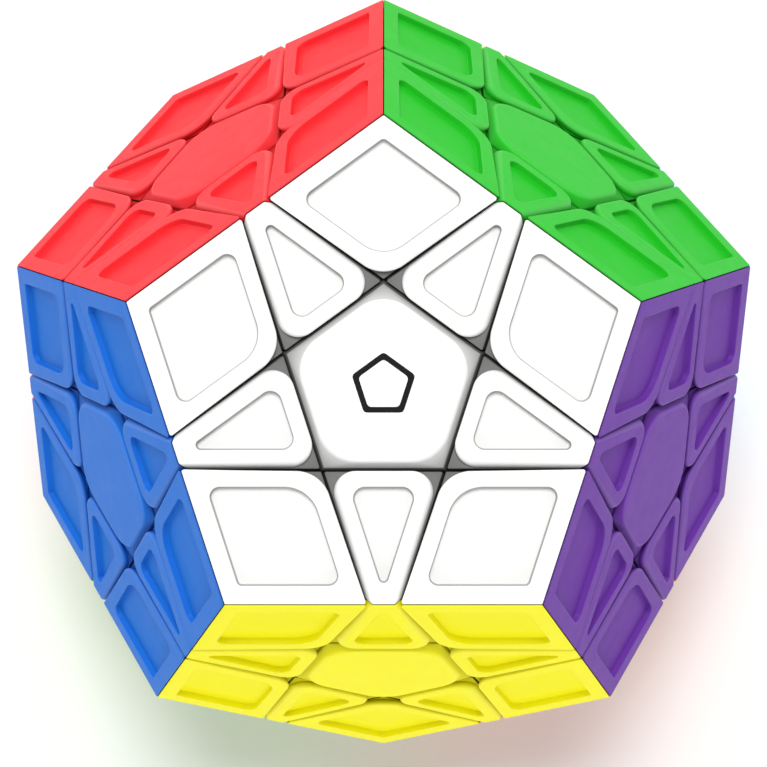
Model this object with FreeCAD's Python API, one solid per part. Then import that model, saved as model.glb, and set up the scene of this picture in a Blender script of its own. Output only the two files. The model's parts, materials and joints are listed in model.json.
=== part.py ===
import FreeCAD
import Part

import itertools
import math
import os

# Dodecahedron twisty puzzle with twelve turning faces, in millimetres.
# The origin is the centre of the core, where all twelve face axes meet. The white face is up
# (+Z), the grey face is down, and the yellow face is the one of the upper ring that looks to -Y.
#
# How it holds together: every boundary between a turning face and the rest is a surface of
# revolution about that face's axis, so that a turn by any angle is free.
#   beyond GATE_R       flat cuts, square to the axes, part the pieces that are seen
#   FOOT_R_IN..FOOT_R   cones about the axes part the feet, which reach under their neighbours:
#                       corner feet under edges, and edge feet under centres
#   FLANGE_R_IN..FLANGE_R   each centre's flange carries the feet of its own face from below
#   the axis            a screw with a spring pulls each centre towards the core

# ---- driving dimensions -------------------------------------------------------------------
EDGE = 36.0              # edge of the dodecahedron
CENTRE_SHARE = 0.2525    # inradius of a centre piece on its face, as a share of EDGE
GAP = 0.3                # open gap between neighbouring pieces
SEAM = 0.08              # gap between the separate mouldings of one piece

TILE = 2.2               # thickness of a coloured tile on an edge or corner piece
TILE_TOP = 0.9           # upper part of the tile, with rounded corners in its outline
CAP = 1.8                # thickness of a centre cap
CAP_TOP = 0.6            # upper part of the cap, with rounded corners
PANEL_DEPTH = 0.8        # depth of the recessed panel
RIM = 2.15               # raised rim round the panel
FLANK_RIM = 1.7          # the same along the long sides of an edge tile
INNER_CORNER_R = 4.6     # outline radius of a corner tile where it meets the centre piece
EDGE_CORNER_R = 2.8      # outline radius of an edge tile beside the centre piece
SIDE_CORNER_R = 0.4      # outline radius near the dodecahedron's edges
CAP_CORNER_R = 4.7       # outline radius of a centre cap
PANEL_R = 1.1            # corner radius of the recessed panels
PANEL_TIP_R = 0.5        # the same at the panels' outer tips

WALL = 1.1               # wall of the hollow bases
GATE_R = 35.5            # the seen pieces begin at this radius
FOOT_R = 35.3            # outer radius of the feet
FOOT_R_IN = 30.9         # inner radius of the feet
FOOT_CONE = 50.0         # half-angle of the cones that part the feet, in degrees
FOOT_PLAY = 0.25         # play on each side of those cones, in degrees
FOOT_WALL = 2.1          # wall of a foot, in degrees about the centre
FLANGE_R = 30.6          # outer radius of a centre's flange
FLANGE_R_IN = 29.0       # inner radius of a centre's flange
FLANGE_CONE = 27.0       # half-angle that the flange spans, in degrees
STEM_CONE = 13.1         # half-angle of a centre's conical stem, in degrees
STEM_WALL = 1.3          # wall of the hollow stem
STEM_LOW = 19.8          # lower end of the stem, along its axis
WELL_FLOOR = 22.3        # the spring stands here
WELL_R = 3.6
BORE_R = 1.7             # clearance hole for the screw

HUB_R = 9.5
ARM_R = 3.4
ARM_END = 19.5
PILOT_R = 1.5
PILOT_FLOOR = 9.5
SHANK_R = 1.45
SHANK_END = 10.5
HEAD_R = 2.9
HEAD_LOW = 31.7
HEAD_HEIGHT = 2.2
HEAD_CHAMFER = 0.5
SLOT_WIDTH = 0.7
SLOT_LENGTH = 3.5
SLOT_DEPTH = 1.2
WASHER_R = 2.9
WASHER_LOW = 31.1
WASHER_THICK = 0.5
SPRING_R = 2.5           # mean radius of the coil
SPRING_WIRE_R = 0.3
SPRING_LOW = 22.8
SPRING_HIGH = 30.7
SPRING_TURNS = 5.5

# ---- worked out from them -----------------------------------------------------------------
COS = 1.0 / math.sqrt(5.0)                  # between the axes of two adjacent faces
SIN = 2.0 / math.sqrt(5.0)
INRADIUS = EDGE * 0.5 * math.sqrt(2.5 + 1.1 * math.sqrt(5.0))
CUT = COS * INRADIUS + SIN * CENTRE_SHARE * EDGE    # distance of every cut from the centre
FACE_ANGLE = 72.0
BIG = 120.0
OVERLAP = 0.5            # how far joined shapes reach into each other

UPPER_RING = {"yellow": 270.0, "purple": 342.0, "green": 54.0, "red": 126.0, "blue": 198.0}
LOWER_RING = {"cream": 90.0, "pink": 162.0, "lime": 234.0, "orange": 306.0, "sky": 18.0}

Vector = FreeCAD.Vector
ORIGIN = Vector(0, 0, 0)
UP = Vector(0, 0, 1)


def neighbour(azimuth):
    """Axis of the face beside the +Z face, at this azimuth in degrees."""
    turn = math.radians(azimuth)
    return Vector(SIN * math.cos(turn), SIN * math.sin(turn), COS)


def face_axes():
    """The twelve face axes by colour, white on top."""
    axes = {"white": UP}
    for colour, azimuth in UPPER_RING.items():
        axes[colour] = neighbour(azimuth)
    for colour, azimuth in LOWER_RING.items():
        axes[colour] = neighbour(azimuth + 180.0) * -1.0
    axes["grey"] = UP * -1.0
    return axes


def frame(normal, toward):
    """Placement with local Z along normal and local X leaning toward the other direction."""
    x = toward - normal * toward.dot(normal)
    x.normalize()
    y = normal.cross(x)
    z = normal
    return FreeCAD.Placement(FreeCAD.Matrix(
        x.x, y.x, z.x, 0.0,
        x.y, y.y, z.y, 0.0,
        x.z, y.z, z.z, 0.0,
        0.0, 0.0, 0.0, 1.0))


def placed(shape, placement):
    """A copy of the shape, moved by the placement."""
    moved = shape.copy()
    moved.Placement = placement.multiply(moved.Placement)
    return moved


def side_direction(normal):
    """Some direction that isn't along the normal."""
    return Vector(1, 0, 0) if abs(normal.x) < 0.8 else Vector(0, 1, 0)


# ---- solids that bound the pieces ---------------------------------------------------------
def slab(normal, low, high):
    """Everything between two planes square to the normal."""
    box = Part.makeBox(BIG, BIG, high - low, Vector(-BIG / 2, -BIG / 2, low))
    return placed(box, frame(normal, side_direction(normal)))


def beyond(normal, distance):
    """Everything farther out along the normal than the distance."""
    return slab(normal, distance, BIG)


def ball(radius):
    """Ball about the centre, with its seam on the side away from +X."""
    sphere = Part.makeSphere(radius)
    sphere.rotate(ORIGIN, UP, 180.0)
    return sphere


def shell(inner, outer):
    """Hollow ball between two radii."""
    return ball(outer).cut(ball(inner))


def cone(normal, half_angle, away_from):
    """Cone with its tip at the centre, and its seam turned away from a direction."""
    height = BIG / 2
    solid = Part.makeCone(0.0, height * math.tan(math.radians(half_angle)), height)
    return placed(solid, frame(normal, away_from * -1.0))


def in_common(shapes):
    """What all the shapes share."""
    result = shapes[0]
    for shape in shapes[1:]:
        result = result.common(shape)
    return result


def one_solid(shape, name):
    """The shape's only solid. Stops if it has fallen apart."""
    if len(shape.Solids) != 1 or not shape.Solids[0].isValid():
        raise ValueError(f"{name} has {len(shape.Solids)} solids")
    return shape.Solids[0]


# ---- outlines on a face -------------------------------------------------------------------
# A side is (azimuth of its normal, kind). Its distance from the face's axis follows from the
# height above the centre, because cuts and ridges lean.
def side_distance(kind, height, inset):
    """Distance of a side from the face's axis, moved into the tile by the inset."""
    if kind == "inner_cut":      # the tile lies beyond a neighbour's cut
        return (CUT + GAP / 2 - height * COS) / SIN + inset
    if kind == "outer_cut":      # the tile lies short of a neighbour's cut
        return (CUT - GAP / 2 - height * COS) / SIN - inset
    return (height * (1.0 - COS) - SEAM / 2) / SIN - inset      # ridge between two faces


def crossing(first, second, height, insets):
    """Point where two sides of an outline cross, at this height."""
    a, b = math.radians(first[0]), math.radians(second[0])
    da = side_distance(first[1], height, insets[first[1]])
    db = side_distance(second[1], height, insets[second[1]])
    share = math.sin(b - a)
    x = (da * math.sin(b) - db * math.sin(a)) / share
    y = (db * math.cos(a) - da * math.cos(b)) / share
    return Vector(x, y, height)


def outline(sides, height, radii, inner=0.0, outer=0.0, ridge=0.0):
    """Closed wire round the sides at this height, each kind of side moved inward by its inset."""
    insets = {"inner_cut": inner, "outer_cut": outer, "ridge": ridge}
    count = len(sides)
    corners = [crossing(sides[i - 1], sides[i], height, insets) for i in range(count)]
    starts, ends, middles = [], [], []
    for i, corner in enumerate(corners):
        back = (corners[i - 1] - corner).normalize()
        ahead = (corners[(i + 1) % count] - corner).normalize()
        half = back.getAngle(ahead) / 2
        reach = radii[i] / math.tan(half)
        bisector = (back + ahead).normalize()
        starts.append(corner + back * reach)
        ends.append(corner + ahead * reach)
        middles.append(corner + bisector * (radii[i] / math.sin(half) - radii[i]))
    edges = []
    for i in range(count):
        if radii[i] > 0:
            edges.append(Part.Arc(starts[i], middles[i], ends[i]).toShape())
        edges.append(Part.LineSegment(ends[i], starts[(i + 1) % count]).toShape())
    return Part.Wire(edges)


def loft(upper, lower):
    """Solid with straight walls between two outlines."""
    return Part.makeLoft([upper, lower], True, True)


def panel_pocket(mouth):
    """Space that a recessed panel takes out of a tile, below its mouth's outline."""
    floor = mouth.copy()
    floor.translate(Vector(0, 0, -PANEL_DEPTH))
    raised = mouth.copy()
    raised.translate(Vector(0, 0, OVERLAP))
    return loft(raised, floor)


def tile(sides, radii, thick, thick_top):
    """Coloured tile: a top with rounded corners in its outline, on a sharp-cornered flange."""
    top = INRADIUS
    step = INRADIUS - thick_top
    under = INRADIUS - thick
    sharp = [0.0] * len(sides)
    upper = loft(outline(sides, top, radii), outline(sides, step, radii))
    lower = loft(outline(sides, step, sharp), outline(sides, under, sharp))
    return one_solid(upper.fuse(lower), "tile")


def corner_tile():
    """Rhombic tile, local X towards the dodecahedron's vertex."""
    half = FACE_ANGLE / 2
    sides = [(half, "inner_cut"), (-half, "ridge"), (half, "ridge"), (-half, "inner_cut")]
    radii = [INNER_CORNER_R, SIDE_CORNER_R, 0.0, SIDE_CORNER_R]
    panel_radii = [INNER_CORNER_R, PANEL_R, PANEL_TIP_R, PANEL_R]
    solid = tile(sides, radii, TILE, TILE_TOP)
    mouth = outline(sides, INRADIUS, panel_radii, inner=RIM, ridge=RIM)
    return one_solid(solid.cut(panel_pocket(mouth)), "corner tile")


def edge_tile():
    """Wedge-shaped tile with a triangular panel, local X towards the dodecahedron's edge."""
    sides = [(-FACE_ANGLE, "outer_cut"), (0.0, "ridge"), (FACE_ANGLE, "outer_cut"), (0.0, "inner_cut")]
    radii = [EDGE_CORNER_R, 0.0, 0.0, EDGE_CORNER_R]
    solid = tile(sides, radii, TILE, TILE_TOP)
    flanks = [(-FACE_ANGLE, "outer_cut"), (FACE_ANGLE, "outer_cut"), (0.0, "inner_cut")]
    panel_radii = [PANEL_R, PANEL_TIP_R, PANEL_R]
    mouth = outline(flanks, INRADIUS, panel_radii, inner=RIM, outer=FLANK_RIM)
    return one_solid(solid.cut(panel_pocket(mouth)), "edge tile")


def centre_cap():
    """Flat five-sided cap with rounded corners over a sharp-cornered foot."""
    sides = [(FACE_ANGLE * k, "outer_cut") for k in range(5)]
    return tile(sides, [CAP_CORNER_R] * 5, CAP, CAP_TOP)


# ---- bases of the pieces ------------------------------------------------------------------
def foot(inside, outside, inner, outer, shrink, toward):
    """Part of a shell within cones about some axes and clear of cones about others."""
    result = shell(inner, outer)
    for axis in inside:
        result = result.common(cone(axis, FOOT_CONE - FOOT_PLAY - shrink, toward))
    for axis in outside:
        result = result.cut(cone(axis, FOOT_CONE + FOOT_PLAY + shrink, toward))
    return result


def hollow_foot(inside, outside, toward):
    """Foot with a pocket that opens towards the core."""
    solid = foot(inside, outside, FOOT_R_IN, FOOT_R, 0.0, toward)
    pocket = foot(inside, outside, FOOT_R_IN - OVERLAP, FOOT_R - WALL, FOOT_WALL, toward)
    return solid.cut(pocket)


def piece_cell(inside, outside, inset, high):
    """Space between the cuts of a piece's own faces and the cuts of the faces at its ends."""
    result = in_common([slab(axis, CUT + GAP / 2 + inset, high) for axis in inside])
    for axis in outside:
        result = result.cut(beyond(axis, CUT - GAP / 2 - inset))
    return result


def hollow_base(inside, outside, name):
    """Cup that opens towards the tiles, with a neck and a foot under it."""
    toward = Vector(0, 0, 0)
    for axis in inside:
        toward = toward + axis
    high = INRADIUS - TILE - SEAM
    cell = piece_cell(inside, outside, 0.0, high)
    pocket = piece_cell(inside, outside, WALL, INRADIUS).cut(ball(GATE_R + WALL))
    cup = cell.cut(ball(GATE_R)).cut(pocket)
    neck = cell.common(shell(FOOT_R - WALL / 2, GATE_R + OVERLAP))
    for axis in outside:
        neck = neck.cut(cone(axis, FOOT_CONE + FOOT_PLAY, toward))
    base = cup.fuse([neck, hollow_foot(inside, outside, toward)])
    return one_solid(base.removeSplitter(), name)


def corner_base():
    """Base of a corner piece, under three tiles."""
    half = FACE_ANGLE / 2
    return hollow_base([UP, neighbour(half), neighbour(-half)], [], "corner base")


def edge_base():
    """Base of an edge piece, under two tiles."""
    ends = [neighbour(FACE_ANGLE), neighbour(-FACE_ANGLE)]
    return hollow_base([UP, neighbour(0.0)], ends, "edge base")


def centre_base():
    """Plate under the cap, with the conical stem, the flange, and the well of the spring."""
    high = INRADIUS - CAP - SEAM
    others = [neighbour(FACE_ANGLE * k) for k in range(5)]
    plate = piece_cell([UP], others, 0.0, high).cut(ball(GATE_R))
    slope = math.tan(math.radians(STEM_CONE))
    stem_high = GATE_R + OVERLAP
    stem = Part.makeCone(STEM_LOW * slope, stem_high * slope, stem_high - STEM_LOW, Vector(0, 0, STEM_LOW))
    flange = shell(FLANGE_R_IN, FLANGE_R).common(cone(UP, FLANGE_CONE, Vector(1, 0, 0)))
    base = plate.fuse([stem, flange])
    well_top = BIG / 2
    hollow_low = (WELL_R + STEM_WALL) / slope + OVERLAP
    hollow = Part.makeCone(hollow_low * slope - STEM_WALL, high * slope - STEM_WALL,
                           high - hollow_low, Vector(0, 0, hollow_low))
    hollow_mouth = Part.makeCylinder(high * slope - STEM_WALL, well_top - high, Vector(0, 0, high))
    well = Part.makeCylinder(WELL_R, well_top - WELL_FLOOR, Vector(0, 0, WELL_FLOOR))
    bore = Part.makeCylinder(BORE_R, well_top - STEM_LOW + OVERLAP, Vector(0, 0, STEM_LOW - OVERLAP))
    pocket = piece_cell([UP], others, WALL, INRADIUS).cut(ball(GATE_R + WALL))
    base = base.cut(pocket).cut(hollow).cut(hollow_mouth).cut(well).cut(bore)
    return one_solid(base.removeSplitter(), "centre base")


# ---- core and hardware --------------------------------------------------------------------
def core(axes):
    """Hub with twelve arms, each with a pilot hole for its screw."""
    arms = []
    holes = []
    for axis in axes.values():
        arms.append(Part.makeCylinder(ARM_R, ARM_END, ORIGIN, axis))
        start = axis * PILOT_FLOOR
        holes.append(Part.makeCylinder(PILOT_R, ARM_END - PILOT_FLOOR + OVERLAP, start, axis))
    body = Part.makeSphere(HUB_R).fuse(arms)
    return one_solid(body.cut(Part.makeCompound(holes)).removeSplitter(), "core")


def screw():
    """Pan-head screw with a cross recess, along +Z."""
    shank = Part.makeCylinder(SHANK_R, HEAD_LOW - SHANK_END, Vector(0, 0, SHANK_END))
    straight = HEAD_HEIGHT - HEAD_CHAMFER
    head = Part.makeCylinder(HEAD_R, straight, Vector(0, 0, HEAD_LOW))
    crown = Part.makeCone(HEAD_R, HEAD_R - HEAD_CHAMFER, HEAD_CHAMFER, Vector(0, 0, HEAD_LOW + straight))
    body = shank.fuse([head, crown])
    slot_floor = HEAD_LOW + HEAD_HEIGHT - SLOT_DEPTH
    for length, width in ((SLOT_LENGTH, SLOT_WIDTH), (SLOT_WIDTH, SLOT_LENGTH)):
        corner = Vector(-length / 2, -width / 2, slot_floor)
        body = body.cut(Part.makeBox(length, width, HEAD_HEIGHT, corner))
    return one_solid(body.removeSplitter(), "screw")


def washer():
    """Flat ring between the spring and the screw's head."""
    disc = Part.makeCylinder(WASHER_R, WASHER_THICK, Vector(0, 0, WASHER_LOW))
    hole = Part.makeCylinder(BORE_R, WASHER_THICK, Vector(0, 0, WASHER_LOW))
    return one_solid(disc.cut(hole), "washer")


def spring():
    """Open coil spring along +Z."""
    height = SPRING_HIGH - SPRING_LOW
    helix = Part.makeHelix(height / SPRING_TURNS, height, SPRING_R)
    start = Vector(SPRING_R, 0, 0)
    section = Part.Wire(Part.makeCircle(SPRING_WIRE_R, start, Vector(0, 1, 0)))
    coil = Part.Wire(helix.Edges).makePipeShell([section], True, True)
    coil.translate(Vector(0, 0, SPRING_LOW))
    return one_solid(coil, "spring")


# ---- assembly -----------------------------------------------------------------------------
def adjacent(axes, first, second):
    """True if two faces share an edge of the dodecahedron."""
    return abs(axes[first].dot(axes[second]) - COS) < 1e-6


def edge_names(axes):
    """The thirty pairs of faces that share an edge."""
    return [pair for pair in itertools.combinations(axes, 2) if adjacent(axes, *pair)]


def corner_names(axes):
    """The twenty triples of faces that meet in a vertex."""
    triples = itertools.combinations(axes, 3)
    return [t for t in triples if all(adjacent(axes, *pair) for pair in itertools.combinations(t, 2))]


def edge_solids(axes, pair, masters):
    """Two tiles and the base of an edge piece."""
    first, second = axes[pair[0]], axes[pair[1]]
    return [
        placed(masters["edge_tile"], frame(first, second)),
        placed(masters["edge_tile"], frame(second, first)),
        placed(masters["edge_base"], frame(first, second)),
    ]


def corner_solids(axes, triple, masters):
    """Three tiles and the base of a corner piece."""
    vertex = axes[triple[0]] + axes[triple[1]] + axes[triple[2]]
    solids = [placed(masters["corner_tile"], frame(axes[colour], vertex)) for colour in triple]
    solids.append(placed(masters["corner_base"], frame(axes[triple[0]], vertex)))
    return solids


def centre_solids(axes, colour, masters):
    """Cap and base of a centre piece."""
    toward = next(axes[other] for other in axes if adjacent(axes, colour, other))
    spot = frame(axes[colour], toward)
    return [placed(masters["centre_cap"], spot), placed(masters["centre_base"], spot)]


def on_every_axis(axes, solids):
    """Copies of the solids along each of the twelve axes."""
    copies = []
    for axis in axes.values():
        spot = frame(axis, side_direction(axis))
        copies.extend(placed(solid, spot) for solid in solids)
    return copies


def build_nodes():
    """Every node's solids by name."""
    axes = face_axes()
    masters = {
        "corner_tile": corner_tile(),
        "edge_tile": edge_tile(),
        "centre_cap": centre_cap(),
        "corner_base": corner_base(),
        "edge_base": edge_base(),
        "centre_base": centre_base(),
    }
    for name, solid in masters.items():
        print(f"{name}: {solid.Volume:.0f} mm3")
    nodes = {
        "core": [core(axes)],
        "axis_screws": on_every_axis(axes, [screw(), washer()]),
        "tension_springs": on_every_axis(axes, [spring()]),
    }
    for colour in axes:
        nodes[f"centre_{colour}"] = centre_solids(axes, colour, masters)
    grey_corners = {t[:2]: t for t in corner_names(axes) if t[2] == "grey"}
    for pair in edge_names(axes):
        solids = edge_solids(axes, pair, masters)
        if pair in grey_corners:
            # This edge and the grey corner below it always move together here.
            solids += corner_solids(axes, grey_corners[pair], masters)
            nodes["edge_{}_{}_and_grey_corner".format(*pair)] = solids
        else:
            nodes["edge_{}_{}".format(*pair)] = solids
    for triple in corner_names(axes):
        if triple[2] != "grey":
            nodes["corner_{}_{}_{}".format(*triple)] = corner_solids(axes, triple, masters)
    return nodes


def main():
    """Writes one STEP file for each node."""
    os.makedirs("parts", exist_ok=True)
    nodes = build_nodes()
    for name, solids in nodes.items():
        Part.makeCompound(solids).exportStep(f"parts/{name}.step")
    volume = sum(solid.Volume for solids in nodes.values() for solid in solids)
    print(f"{len(nodes)} nodes, {sum(map(len, nodes.values()))} solids, {volume / 1000:.1f} cm3")


main()
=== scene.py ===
"""Visual model of a dodecahedron twisty puzzle with coloured, moulded tiles.

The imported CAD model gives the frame, the bodies and the hidden bases. This script moulds every
coloured tile anew with its rims, panels and ledges, winds the springs, and dresses every
piece. All lengths are in metres.
"""
import json
import logging
import math
from dataclasses import dataclass, field, replace
from enum import Enum

import bmesh
import bpy
import numpy as np
from mathutils import Matrix, Vector


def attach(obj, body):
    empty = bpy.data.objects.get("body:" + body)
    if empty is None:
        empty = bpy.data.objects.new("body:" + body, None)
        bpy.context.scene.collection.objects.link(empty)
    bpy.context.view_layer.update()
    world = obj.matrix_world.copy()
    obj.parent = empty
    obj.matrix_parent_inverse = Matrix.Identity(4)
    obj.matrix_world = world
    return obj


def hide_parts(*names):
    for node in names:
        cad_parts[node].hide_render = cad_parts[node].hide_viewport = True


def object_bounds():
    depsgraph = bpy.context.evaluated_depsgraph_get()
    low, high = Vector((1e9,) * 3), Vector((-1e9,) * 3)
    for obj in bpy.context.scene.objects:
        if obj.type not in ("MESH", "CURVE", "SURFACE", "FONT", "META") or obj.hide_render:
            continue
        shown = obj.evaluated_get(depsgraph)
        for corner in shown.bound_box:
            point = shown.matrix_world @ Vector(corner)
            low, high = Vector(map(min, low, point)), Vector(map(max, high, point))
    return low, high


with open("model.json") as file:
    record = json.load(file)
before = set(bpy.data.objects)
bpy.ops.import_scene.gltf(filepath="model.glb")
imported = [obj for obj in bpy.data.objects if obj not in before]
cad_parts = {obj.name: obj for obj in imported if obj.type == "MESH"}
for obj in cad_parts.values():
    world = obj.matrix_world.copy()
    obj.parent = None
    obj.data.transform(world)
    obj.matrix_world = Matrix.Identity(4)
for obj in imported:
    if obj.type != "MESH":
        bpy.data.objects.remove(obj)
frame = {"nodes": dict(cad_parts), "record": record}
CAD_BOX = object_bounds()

LOG = logging.getLogger("puzzle")
MM = 0.001

# ---- the dodecahedron ---------------------------------------------------------------------
COS = 1.0 / math.sqrt(5.0)                       # between the axes of two adjacent faces
SIN = 2.0 / math.sqrt(5.0)
INRADIUS = (CAD_BOX[1].z - CAD_BOX[0].z) / 2     # the puzzle stands on one face, another is on top
EDGE = INRADIUS / (0.5 * math.sqrt(2.5 + 1.1 * math.sqrt(5.0)))
CENTRE_SHARE = 0.2525                            # inradius of a centre piece, as a share of EDGE
CUT = COS * INRADIUS + SIN * CENTRE_SHARE * EDGE
FACE_ANGLE = math.radians(72.0)
UP = Vector((0.0, 0.0, 1.0))


class Colour(Enum):
    """The twelve faces, each named for the colour of its plastic."""

    WHITE = "white"
    YELLOW = "yellow"
    PURPLE = "purple"
    GREEN = "green"
    RED = "red"
    BLUE = "blue"
    CREAM = "cream"
    PINK = "pink"
    LIME = "lime"
    ORANGE = "orange"
    SKY = "sky"
    GREY = "grey"


class SideKind(Enum):
    """What bounds a tile along one side of its outline."""

    INNER_CUT = "the tile lies beyond a neighbouring face's cut"
    OUTER_CUT = "the tile lies short of a neighbouring face's cut"
    RIDGE = "an edge of the dodecahedron"


def neighbour(azimuth: float) -> Vector:
    """Axis of a face beside the +Z face.

    Args:
        azimuth: Direction of that face about +Z, in radians.

    Returns:
        Its unit normal.
    """
    return Vector((SIN * math.cos(azimuth), SIN * math.sin(azimuth), COS))


def face_axes() -> dict[Colour, Vector]:
    """Axes of the twelve faces.

    Returns:
        Unit normals by colour: white up, a ring of five round it, and their opposites.
    """
    upper = (Colour.YELLOW, Colour.PURPLE, Colour.GREEN, Colour.RED, Colour.BLUE)
    lower = (Colour.CREAM, Colour.PINK, Colour.LIME, Colour.ORANGE, Colour.SKY)
    axes = {Colour.WHITE: UP.copy(), Colour.GREY: -UP}
    for step, (high, low) in enumerate(zip(upper, lower)):
        axes[high] = neighbour(math.radians(270.0) + step * FACE_ANGLE)
        axes[low] = -axes[high]
    return axes


AXES = face_axes()


def face_turn(normal: Vector, toward: Vector) -> Matrix:
    """Rotation that lays a face's own axes in the frame.

    Args:
        normal: Where local Z goes.
        toward: Direction that local X leans to.

    Returns:
        A 3x3 rotation.
    """
    x = (toward - normal * toward.dot(normal)).normalized()
    y = normal.cross(x)
    return Matrix((x, y, normal)).transposed()


# ---- finishes -----------------------------------------------------------------------------
def linear(red: float, green: float, blue: float) -> tuple[float, float, float, float]:
    """Display colour of 0 to 255 as the linear colour that a shader takes.

    Args:
        red: Red, 0 to 255.
        green: Green, 0 to 255.
        blue: Blue, 0 to 255.

    Returns:
        Linear red, green, blue and an alpha of 1.
    """
    parts = [v / 255.0 for v in (red, green, blue)]
    curve = [((v + 0.055) / 1.055) ** 2.4 if v > 0.04045 else v / 12.92 for v in parts]
    return (curve[0], curve[1], curve[2], 1.0)


def toned(colour: tuple[float, ...], share: float, power: float = 1.0,
          lift: float = 0.0) -> tuple[float, ...]:
    """A darker, deeper or paler tone of a colour.

    Args:
        colour: Linear colour.
        share: What each part is multiplied by.
        power: What each part is raised to first.
        lift: What is added to each part last.

    Returns:
        Linear red, green, blue and an alpha of 1.
    """
    return tuple(c ** power * share + lift for c in colour[:3]) + (1.0,)


class NodeBench:
    """Short ways to lay and wire the nodes of one tree."""

    def __init__(self, tree: bpy.types.NodeTree) -> None:
        """Starts on a tree."""
        self.tree = tree

    def add(self, kind: str, **settings: object) -> bpy.types.Node:
        """Adds a node.

        Args:
            kind: The node's type name.
            **settings: Properties to set on it.

        Returns:
            The new node.
        """
        node = self.tree.nodes.new(kind)
        for name, value in settings.items():
            setattr(node, name, value)
        return node

    def feed(self, socket: bpy.types.NodeSocket, value: object) -> None:
        """Links an output to a socket, or sets a plain value on it.

        Args:
            socket: The input to fill.
            value: An output socket, or a plain value.
        """
        if isinstance(value, bpy.types.NodeSocket):
            self.tree.links.new(value, socket)
        else:
            socket.default_value = value

    def math(self, operation: str, *values: object) -> bpy.types.NodeSocket:
        """One Math node.

        Args:
            operation: What it does.
            *values: Its inputs, as sockets or numbers.

        Returns:
            Its output.
        """
        node = self.add("ShaderNodeMath", operation=operation)
        for socket, value in zip(node.inputs, values):
            self.feed(socket, value)
        return node.outputs[0]

    def noise(self, vector: bpy.types.NodeSocket, scale: float, detail: float) -> bpy.types.NodeSocket:
        """Noise over the piece.

        Args:
            vector: Where it is read.
            scale: Lumps per metre.
            detail: Octaves.

        Returns:
            The noise's value.
        """
        node = self.add("ShaderNodeTexNoise")
        self.feed(node.inputs["Vector"], vector)
        node.inputs["Scale"].default_value = scale
        node.inputs["Detail"].default_value = detail
        return node.outputs["Fac"]

    def spread(self, value: bpy.types.NodeSocket, low: float, high: float) -> bpy.types.NodeSocket:
        """Maps the middle of a noise's values to a range.

        Args:
            value: The noise.
            low: What 0.3 becomes.
            high: What 0.7 becomes.

        Returns:
            The mapped value.
        """
        node = self.add("ShaderNodeMapRange")
        for name, number in (("From Min", 0.3), ("From Max", 0.7), ("To Min", low), ("To Max", high)):
            node.inputs[name].default_value = number
        self.feed(node.inputs["Value"], value)
        return node.outputs["Result"]

    def blend(self, share: object, first: object, second: object) -> bpy.types.NodeSocket:
        """Mix of two colours.

        Args:
            share: How much of the second shows.
            first: A colour or a socket.
            second: A colour or a socket.

        Returns:
            The mixed colour.
        """
        node = self.add("ShaderNodeMix", data_type="RGBA")
        self.feed(node.inputs["Factor"], share)
        self.feed(node.inputs[6], first)
        self.feed(node.inputs[7], second)
        return node.outputs[2]

    def attribute(self, name: str) -> bpy.types.NodeSocket:
        """Value of one of the mesh's own attributes."""
        return self.add("ShaderNodeAttribute", attribute_name=name).outputs["Fac"]

    def place(self) -> bpy.types.NodeSocket:
        """The piece's own Object coordinates."""
        return self.add("ShaderNodeTexCoord").outputs["Object"]

    def bump(self, height: bpy.types.NodeSocket, strength: float, depth: float) -> bpy.types.NodeSocket:
        """Normal of a surface with this relief.

        Args:
            height: The relief.
            strength: Share of it that shows.
            depth: Its depth in metres.

        Returns:
            The bumped normal.
        """
        node = self.add("ShaderNodeBump")
        node.inputs["Strength"].default_value = strength
        node.inputs["Distance"].default_value = depth
        self.feed(node.inputs["Height"], height)
        return node.outputs["Normal"]


def new_material(name: str) -> tuple[bpy.types.Material, NodeBench, bpy.types.Node]:
    """Starts a material.

    Args:
        name: Its name.

    Returns:
        The material, a bench on its tree and its Principled shader.
    """
    material = bpy.data.materials.new(name)
    material.use_nodes = True
    bench = NodeBench(material.node_tree)
    return material, bench, material.node_tree.nodes["Principled BSDF"]


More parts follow.
